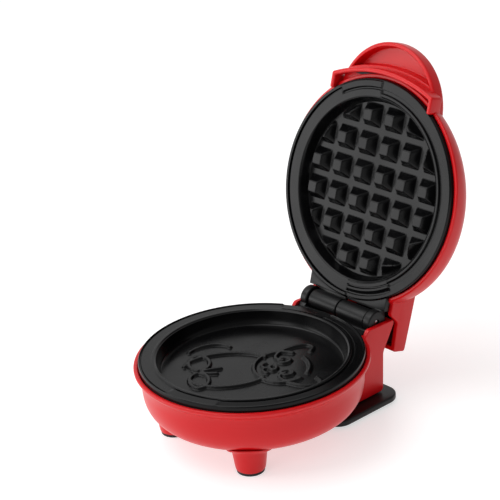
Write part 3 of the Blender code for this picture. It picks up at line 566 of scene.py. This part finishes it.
upperRing = {
    "left": ((48.6, 0.5), (49.4, 0.5), (55.6, 0.5), (55.8, 1.4), (56.6, 1.4), (56.9, 0.0), (58.6,
        0.0)),
    "right": ((49.2, 1.0), (50.2, 0.0), (51.3, 0.0), (51.8, 1.3), (53.5, 1.3), (53.8, 0.4), (58.6,
        0.4)),
    "front": ((48.6, 0.5), (49.4, 0.5), (53.0, 0.5), (53.2, 1.4), (54.0, 1.4), (54.6, 0.0), (57.6,
        0.0), (58.0, 0.9), (58.6, 0.9)),
    "back": ((49.2, 1.0), (50.2, 0.5), (51.7, 0.5), (51.9, 1.3), (52.4, 1.3), (52.8, 0.0), (54.0,
        0.0), (55.5, 1.3), (56.3, 1.3), (56.6, 0.4), (58.6, 0.4)),
    "turns": (-30.0, 0.0, 148.0, 180.0),
}


# Depth below the ring plane: each sector's own profile, eased into the next over one degree.
def ringDrop(radius, angle, ring):
    first, second, third, fourth = ring["turns"]
    a = (angle - first) % 360 + first
    ease = 0.6

    def drop(key):
        points = np.array(ring[key])
        return np.interp(radius, points[:, 0], points[:, 1])

    frontShare = blendBetween(a, first - ease, first + ease) * (1 - blendBetween(a, second - ease,
        second + ease))
    rightShare = blendBetween(a, second - ease, second + ease) * (1 - blendBetween(a, third - ease,
        third + ease))
    backShare = blendBetween(a, third - ease, third + ease) * (1 - blendBetween(a, fourth - ease,
        fourth + ease))
    leftShare = 1 - frontShare - rightShare - backShare
    return frontShare * drop("front") + rightShare * drop("right") + backShare * drop("back") + leftShare * drop("left")


# The plate's outer ring and well wall as one closed band; away is +1 where depth runs upwards.
def ringPiece(name, ring, plane, away, innerWall):
    steps = 720
    wall = np.asarray(innerWall)
    radii = np.concatenate([np.arange(49.4, 58.45, 0.14), [58.45]])
    angle = np.linspace(0, 2 * pi, steps, endpoint=False)
    seen = degrees(1) * (angle + pi / 2)
    top = ringDrop(radii[:, None], seen[None, :], ring)
    rounded = np.clip(radii - 58.25, 0, 0.2)[:, None]
    top = top + 0.3 - np.sqrt(np.clip(0.09 - (rounded * 1.4) ** 2, 0, None))
    rows = []
    for r, d in wall:
        rows.append((np.full(steps, r), np.full(steps, d)))
    for i, r in enumerate(radii):
        rows.append((np.full(steps, r), top[i]))
    for r, d in ((58.65, 0.9), (58.65, plate["thick"]), (50.0, plate["thick"])):
        rows.append((np.full(steps, r), np.full(steps, d)))
    for r, d in wall[:1]:
        rows.append((np.full(steps, r + 1.5), np.full(steps, d + 1.5)))
        rows.append((np.full(steps, r - 0.5), np.full(steps, d + 1.5)))
    radius = np.stack([row[0] for row in rows])
    depth = np.stack([row[1] for row in rows])
    grid = np.stack([radius * np.cos(angle), radius * np.sin(angle), plane + away * depth], axis=-1)
    return loft(name, grid, wrapRows=True)


# A sheet on a square grid with its own thickness; keep(x, y) says which cells are there.
def slab(name, xs, ys, keep, top, bottom):
    gx, gy = np.meshgrid(xs, ys, indexing="ij")
    cx = (gx[:-1, :-1] + gx[1:, 1:]) / 2
    cy = (gy[:-1, :-1] + gy[1:, 1:]) / 2
    cells = keep(cx, cy)
    n, m = gx.shape
    points = np.concatenate([
        np.stack([gx, gy, top(gx, gy)], -1).reshape(-1, 3),
        np.stack([gx, gy, bottom(gx, gy)], -1).reshape(-1, 3),
    ])
    index = np.arange(n * m).reshape(n, m)
    quads = np.stack([index[:-1, :-1], index[1:, :-1], index[1:, 1:], index[:-1, 1:]], -1)[cells]
    under = quads[:, ::-1] + n * m
    edges = np.concatenate([quads[:, [k, (k + 1) % 4]] for k in range(4)])
    keys = np.sort(edges, axis=1)
    order = keys[:, 0] * (n * m) + keys[:, 1]
    _, where, counts = np.unique(order, return_index=True, return_counts=True)
    rim = edges[where[counts == 1]]
    walls = np.stack([rim[:, 1], rim[:, 0], rim[:, 0] + n * m, rim[:, 1] + n * m], -1)
    faces = np.concatenate([quads, under, walls])
    used, inverse = np.unique(faces, return_inverse=True)
    return newMesh(name, points[used], inverse.reshape(faces.shape).tolist())


# Lower plate: smooth well with a raised drawing of a sitting puppy on its floor
wellWall = [(46.6, 8.6), (47.2, 8.25), (47.7, 7.9), (48.1, 7.2), (48.6, 5.6), (49.0, 3.8), (49.3,
    1.8), (49.4, 1.0)]
ringLower = ringPiece("lowerPlateRing", lowerRing, partingZ, -1, wellWall)
fit(ringLower, "base", "nonstick_plate", ptfeCast, "lower_plate", sharp=60)

puppy = {
    "turn": radians(-38.0),
    "centre": (0.0, 1.0),
    "height": 1.25,
    "half": 1.05,
    "floor": plate["depth"],
}


# Part of an ellipse from start to end degrees, itself turned by turn degrees.
def arcPoints(cx, cy, rx, ry, start, end, turn=0.0, count=22):
    t = np.radians(np.linspace(start, end, count))
    x = rx * np.cos(t)
    y = ry * np.sin(t)
    c, s = cos(radians(turn)), sin(radians(turn))
    return np.stack([cx + x * c - y * s, cy + x * s + y * c], axis=1)


# Strokes of the puppy, drawn upright in its own square: x to its right, y up, millimetres
puppyStrokes = [
    (arcPoints(6, 14, 17, 14.5, 150, 395), 1.0),
    (arcPoints(6, 14, 17, 14.5, 60, 120), 1.0),
    (arcPoints(-9, 22, 6.0, 11.5, 40, 300, 32), 1.0),
    (arcPoints(21, 22, 6.0, 11.5, -120, 140, -32), 1.0),
    (arcPoints(-1, 16, 2.6, 3.2, 0, 360), 0.9),
    (arcPoints(13, 16, 2.6, 3.2, 0, 360), 0.9),
    (arcPoints(6, 9.5, 2.6, 1.8, 0, 360), 1.0),
    (arcPoints(3.4, 6.8, 2.8, 2.8, 190, 350), 0.8),
    (arcPoints(8.6, 6.8, 2.8, 2.8, 190, 350), 0.8),
    (arcPoints(-2, -14, 13, 22, 112, 262), 1.0),
    (arcPoints(10, -14, 12, 20, -80, 62), 1.0),
    (arcPoints(-6, -28, 8.0, 5.5, 10, 350), 1.0),
    (arcPoints(13, -29, 8.0, 5.0, -170, 170), 1.0),
    (arcPoints(4, -12, 3.0, 15.0, 200, 330), 0.9),
    (arcPoints(-18, -22, 8.0, 12.0, 90, 230, 20), 1.0),
]


# Ridge height from the distance to the nearest stroke, flat on top with soft shoulders.
def reliefHeight(x, y):
    c, s = cos(puppy["turn"]), sin(puppy["turn"])
    u = (x - puppy["centre"][0]) * c + (y - puppy["centre"][1]) * s
    v = -(x - puppy["centre"][0]) * s + (y - puppy["centre"][1]) * c
    best = np.full(x.shape, 9.0)
    for stroke, width in puppyStrokes:
        for a, b in zip(stroke[:-1], stroke[1:]):
            along = b - a
            t = np.clip(((u - a[0]) * along[0] + (v - a[1]) * along[1]) / (along @ along), 0, 1)
            gap = np.hypot(u - a[0] - t * along[0], v - a[1] - t * along[1]) / width
            best = np.minimum(best, gap)
    inside = 1 - blendBetween(np.hypot(x, y), 44.5, 46.0)
    return puppy["height"] * (1 - blendBetween(best, puppy["half"] - 0.35,
        puppy["half"] + 0.25)) * inside


floorGrid = np.linspace(-47.6, 47.6, 250)
floor = slab(
    "lowerPlateFloor",
    floorGrid,
    floorGrid,
    lambda x, y: np.hypot(x, y) < 47.2,
    lambda x, y: partingZ - puppy["floor"] + reliefHeight(x, y),
    lambda x, y: np.full(x.shape, partingZ - puppy["floor"] - 2.0),
)
fit(floor, "base", "nonstick_plate", ptfeCast, "lower_plate", sharp=75)

# Upper plate: a lattice of flat bands between square tapered studs
studs = {"pitch": 15.5, "base": 12.2, "top": 5.8, "height": 5.2, "rows": 6, "reach": 45.9,
    "soft": 0.3}
latticeWall = [(46.0, 6.7), (46.7, 6.35), (47.0, 5.9), (47.5, 4.6), (48.2, 2.6), (48.6, 1.3),
    (48.9, 0.8), (49.2, 0.65)]
ringUpper = ringPiece("upperPlateRing", upperRing, lidZ, 1, latticeWall)
fit(ringUpper, "lid", "nonstick_plate", ptfeCast, "upper_plate", sharp=60)


# The lower of two heights with their crease rounded over width.
def softMin(a, b, width):
    gap = np.clip(0.5 + 0.5 * (b - a) / width, 0, 1)
    return b + (a - b) * gap - width * gap * (1 - gap)


# Square pyramids cut flat: height falls from the distance to the stud's middle, softly capped.
def studHeight(x, y):
    pitch = studs["pitch"]
    u = (x / pitch) % 1.0 - 0.5
    v = (y / pitch) % 1.0 - 0.5
    away = (np.abs(u * pitch) ** 14 + np.abs(v * pitch) ** 14 + 1e-9) ** (1 / 14)
    slope = studs["height"] / ((studs["base"] - studs["top"]) / 2)
    side = (studs["base"] / 2 - away) * slope
    edge = (studs["reach"] - np.hypot(x, y)) * 1.6
    height = softMin(softMin(side, edge, 0.5), studs["height"] + 0 * side, 0.45)
    inside = (np.abs(x) < pitch * studs["rows"] / 2) & (np.abs(y) < pitch * studs["rows"] / 2)
    return np.where(inside, -softMin(-height, 0 * height, 0.35), 0.0)


# Grid lines crowded where a stud's edges run and sparse across flats.
def studLines():
    pitch, half, top = studs["pitch"], studs["base"] / 2, studs["top"] / 2
    marks = [0.0, 0.35 * top, 0.7 * top, top - 0.35, top - 0.1, top + 0.15, top + 0.5]
    marks += list(np.linspace(top + 1.0, half - 0.55, 5))
    marks += [half - 0.25, half, half + 0.2, half + 0.5, half + 1.0, pitch / 2]
    marks = np.array(marks)
    one = np.concatenate([-marks[:0:-1], marks[:-1]])
    centres = (np.arange(8) - 3.5) * pitch
    lines = (centres[:, None] + one[None, :]).ravel()
    lines = np.unique(np.round(lines, 4))
    return lines[np.abs(lines) < 47.6]


lattice = slab(
    "upperPlateLattice",
    studLines(),
    studLines(),
    lambda x, y: np.hypot(x, y) < 46.9,
    lambda x, y: lidZ + plate["lattice"] - studHeight(x, y),
    lambda x, y: np.full(x.shape, lidZ + plate["lattice"] + 2.0),
)
fit(lattice, "lid", "nonstick_plate", ptfeCast, "upper_plate", sharp=75)
print("plates done")

# Black frames and hinge
frames = {"inner": 52.6, "outer": 58.5, "baseTop": partingZ - 3.2, "lidLow": lidZ + 3.2,
    "height": 3.2}
ring = revolve(
    "baseFrameRing",
    roundCorners(((52.6, frames["baseTop"]), (58.5, frames["baseTop"]), (58.5, 40.4), (56.4, 38.2),
        (52.6, 38.2)), 0.3, 3),
    240,
)
fit(ring, "base", "frame_black", blackPbt, "base_inner_frame")
ring = revolve(
    "lidFrameRing",
    roundCorners(((52.6, frames["lidLow"]), (58.5, frames["lidLow"]), (58.2, 51.6), (52.6, 51.6)),
        0.3, 3),
    240,
)
fit(ring, "lid", "frame_black", blackPbt, "lid_inner_frame")


# A deck whose front edge follows the plate's rim and whose rear edge is straight.
def deckOutline(half, front, rear):
    swing = asin(half / front)
    t = np.linspace(pi / 2 + swing, pi / 2 - swing, 40)
    edge = np.stack([front * np.cos(t), front * np.sin(t)], axis=1)
    return np.concatenate([edge, [[half, rear], [-half, rear]]])


deck = prism("baseDeck", deckOutline(25.9, 58.95, 60.2), 39.2, 42.3, "Z", 0.3, 2)
fit(deck, "base", "frame_black", blackPbt, "base_inner_frame")
fill = prism("lidDeckEdge", ((0.6, 58.6), (20.8, 58.6), (20.8, 60.15), (0.6, 60.15)), 46.4, 49.3,
    "Z", 0.2, 2)
fit(fill, "lid", "frame_black", blackPbt, "lid_inner_frame")
# A black block filling the tail's cavity: painted shade that darkens the tail's inside, which lies in shadow
shadeFillOutline = ((61.0, 57.6), (79.0, 59.6), (79.0, 63.8), (61.0, 64.6))
shadeFill = prism("tailShadeFill", roundCorners(shadeFillOutline, 0.8, 3), -26.8, 26.8, "X", 0.4, 2)
fit(shadeFill, "lid", "frame_black", blackPbt, "lid_inner_frame")
deck = prism("lidDeck", deckOutline(28.1, 58.95, 59.4), 46.1, 49.6, "Z", 0.4, 2)
fit(deck, "lid", "frame_black", blackPbt, "lid_inner_frame")


# A gutter round the barrels: two arcs about the hinge, from the deck down and up to the rear.
def troughOutline():
    start, end = radians(196), radians(342)
    t = np.linspace(start, end, 40)
    outer = np.stack([hingeY + 8.5 * np.cos(t), hingeZ + 8.5 * np.sin(t)], axis=1)
    inner = np.stack([hingeY + 7.1 * np.cos(t), hingeZ + 7.1 * np.sin(t)], axis=1)[::-1]
    return np.concatenate([outer, inner])


fit(prism("hingeTrough", troughOutline(), -25.9, 25.9, "X", 0.3, 2), "base", "frame_black",
    blackPbt, "base_inner_frame")

barrel = {"radius": 5.5, "end": 20.6, "split": 0.25, "lug": 6.5, "lugStart": 21.2, "lugEnd": 26.0,
    "bore": 1.7, "edge": 0.7}


def barrelProfile(radius, start, end, edge):
    outline = ((barrel["bore"], start), (radius, start), (radius, end), (barrel["bore"], end))
    return roundCorners(outline, (0.2, edge, edge, 0.2), 5)


# One long barrel on one side of the split and one lug at the other end.
def barrelSet(body, sign, slot, node):
    ends = sorted((sign * barrel["split"], sign * barrel["end"]))
    long = revolve(f"{body}HingeBarrel", barrelProfile(barrel["radius"], *ends, barrel["edge"]),
        72, "X")
    fit(long, body, slot, blackPbt, node)
    ends = sorted((-sign * barrel["lugStart"], -sign * barrel["lugEnd"]))
    lug = revolve(f"{body}HingeLug", barrelProfile(barrel["lug"], *ends, 0.9), 72, "X")
    fit(lug, body, slot, blackPbt, node)


barrelSet("base", 1, "frame_black", "base_inner_frame")
barrelSet("lid", -1, "frame_black", "lid_inner_frame")

# Webs from the decks to the barrels: (name, body, left, right, outline in y and z)
webs = (
    ("baseBarrelWeb", "base", 0.35, 20.5, ((58.9, 39.9), (62.5, 39.6), (63.0, 42.5), (58.9, 42.2))),
    ("baseLugWeb", "base", -25.9, -21.3, ((58.0, 39.9), (62.5, 38.8), (62.5, 46.0), (58.0, 42.4))),
    ("lidBarrelWeb", "lid", -20.5, -0.35, ((58.9, 46.4), (63.0, 46.0), (63.0, 49.2), (58.9, 49.3))),
    ("lidLugWeb", "lid", 21.3, 25.9, ((58.9, 46.3), (62.5, 43.6), (63.0, 50.2), (58.9, 49.5))),
)
for name, body, left, right, outline in webs:
    web = prism(name, roundCorners(outline, 0.3, 3), left, right, "X", 0.3, 2)
    fit(web, body, "frame_black", blackPbt, f"{body}_inner_frame")

pin = revolve("hingePin", roundCorners(((0.01, -25.2), (1.5, -25.2), (1.5, 25.2), (0.01, 25.2)),
    (0, 0.4, 0.4, 0), 4), 32, "X", wrap=False)
fit(pin, "base", "pressed_steel", zincSteel, "hinge_pin")

strip = prism("lidFrontStrip", ((-24.0, -60.4), (24.0, -60.4), (24.0, -58.0), (-24.0, -58.0)),
    49.4, 50.6, "Z", 0.3, 2)
fit(strip, "lid", "frame_black", blackPbt, "lid_inner_frame")
print("frames and hinge done")

# Feet
foot = {"half": 36.5, "front": 24.0, "rear": 73.0, "low": 1.2, "high": 4.8, "corner": 9.0}
outline = (
    (-foot["half"], foot["front"]),
    (foot["half"], foot["front"]),
    (foot["half"], foot["rear"]),
    (-foot["half"], foot["rear"]),
)
soleplate = prism("rearFootPlate", roundCorners(outline, foot["corner"], 14), foot["low"],
    foot["high"], "Z", 1.0, 4)
fit(soleplate, "base", "frame_black", blackPbt, "rear_foot_plate")


def padProfile(radius, low, high):
    return roundCorners(((0.01, low), (radius, low), (radius, high), (0.01, high)), (0, 0.5, 0.3,
        0), 4)


for word, side in (("Left", -1), ("Right", 1)):
    pad = revolve(f"frontPad{word}", padProfile(7.2, 0.0, 1.6), 64, centre=(side * leg["x"],
        leg["y"]), wrap=False)
    fit(pad, "base", "rubber_pad", padRubber, f"front_pad_{word.lower()}")
    pad = revolve(f"rearPad{word}", padProfile(5.0, 0.0, 1.2), 48, centre=(side * 24.0,
        hingeY - 5.0), wrap=False)
    fit(pad, "base", "rubber_pad", padRubber, f"rear_pad_{word.lower()}")
print("feet done")

# Carried over CAD nodes
finishes = {
    "element": heatSteel,
    "reflector": panSheet,
    "clamp": zincSteel,
    "screw": zincSteel,
    "thermostat": zincSteel,
    "fuse": zincSteel,
    "terminal": creamNylon,
    "gland": blackPbt,
    "cord_clamp": blackPbt,
    "lens": amberLens,
    "lamp": lampGlass,
}
for name, item in frame["nodes"].items():
    if item.hide_render or item.type != "MESH":
        continue
    for key, material in finishes.items():
        if key in name:
            item.data.materials.clear()
            item.data.materials.append(material)
print("carried nodes finished")

# Floor, light, camera
def addLight(name, kind, location, target, energy, size=1.0, colour=(1, 1, 1)):
    light = bpy.data.lights.new(name, kind)
    light.energy = energy
    light.color = colour
    if kind == "AREA":
        light.shape = "RECTANGLE"
        light.size = size[0]
        light.size_y = size[1]
    item = bpy.data.objects.new(name, light)
    item.location = location
    item.rotation_euler = (Vector(target) - Vector(location)).to_track_quat("-Z", "Y").to_euler()
    bpy.context.scene.collection.objects.link(item)
    return item


bpy.context.scene.view_settings.view_transform = "Standard"
worktop = bpy.data.meshes.new("worktop")
worktop.from_pydata([(-4, -4, 0), (4, -4, 0), (4, 4, 0), (-4, 4, 0)], [], [(0, 1, 2, 3)])
worktopItem = bpy.data.objects.new("worktop", worktop)
bpy.context.scene.collection.objects.link(worktopItem)
paper = newMaterial("matPaperSweep", "#cfcfcf", 0.9, specular=0.2)
paper.node_tree.nodes["Principled BSDF"].inputs["Emission Color"].default_value = (1, 1, 1, 1)
paper.node_tree.nodes["Principled BSDF"].inputs["Emission Strength"].default_value = 0.58
worktop.materials.append(paper)

# White surround, brightest on the left and dimmer on the right, as beside a window wall
surround = {"left": 0.85, "right": 0.28}
world = bpy.data.worlds.new("studio")
bpy.context.scene.world = world
world.use_nodes = True
sky = world.node_tree.nodes["Background"]
sky.inputs["Color"].default_value = (1, 1, 1, 1)
around = node(world.node_tree, "ShaderNodeTexCoord").outputs["Generated"]
sideways = node(world.node_tree, "ShaderNodeSeparateXYZ", Vector=around).outputs["X"]
strength = node(
    world.node_tree,
    "ShaderNodeMapRange",
    {"From Min": -0.8, "From Max": 0.8, "To Min": surround["left"], "To Max": surround["right"]},
    Value=sideways,
)
world.node_tree.links.new(strength.outputs["Result"], sky.inputs["Strength"])

addLight("topSoftbox", "AREA", (-0.3, -0.35, 0.9), (0, 0, 0.05), 5.0, (0.8, 0.8))
addLight("frontSoftbox", "AREA", (0.15, -1.2, 0.55), (0, 0, 0.08), 2.4, (0.6, 0.6))
addLight("leftSoftbox", "AREA", (-0.95, -1.0, 0.2), (0, 0, 0.1), 4.5, (0.9, 0.6))

photoCamera = {
    "lens": 132.5,
    "position": (639.9, -552.26, 473.36),
    "right": (0.6744, 0.7360, -0.0602),
    "up": (-0.2601, 0.3131, 0.9134),
    "back": (0.6911, -0.6003, 0.4025),
}
camera = bpy.data.cameras.new("camera")
camera.lens = photoCamera["lens"]
camera.sensor_width = 36
camera.clip_start = 0.01
camera.clip_end = 50
cameraItem = bpy.data.objects.new("camera", camera)
bpy.context.scene.collection.objects.link(cameraItem)
turn = Matrix([photoCamera["right"], photoCamera["up"], photoCamera["back"]]).transposed().to_4x4()
place = Vector(photoCamera["position"]) / 1000 + Vector((0, ringY / 1000, 0))
cameraItem.matrix_world = Matrix.Translation(place) @ turn
bpy.context.scene.camera = cameraItem
print("studio ready")
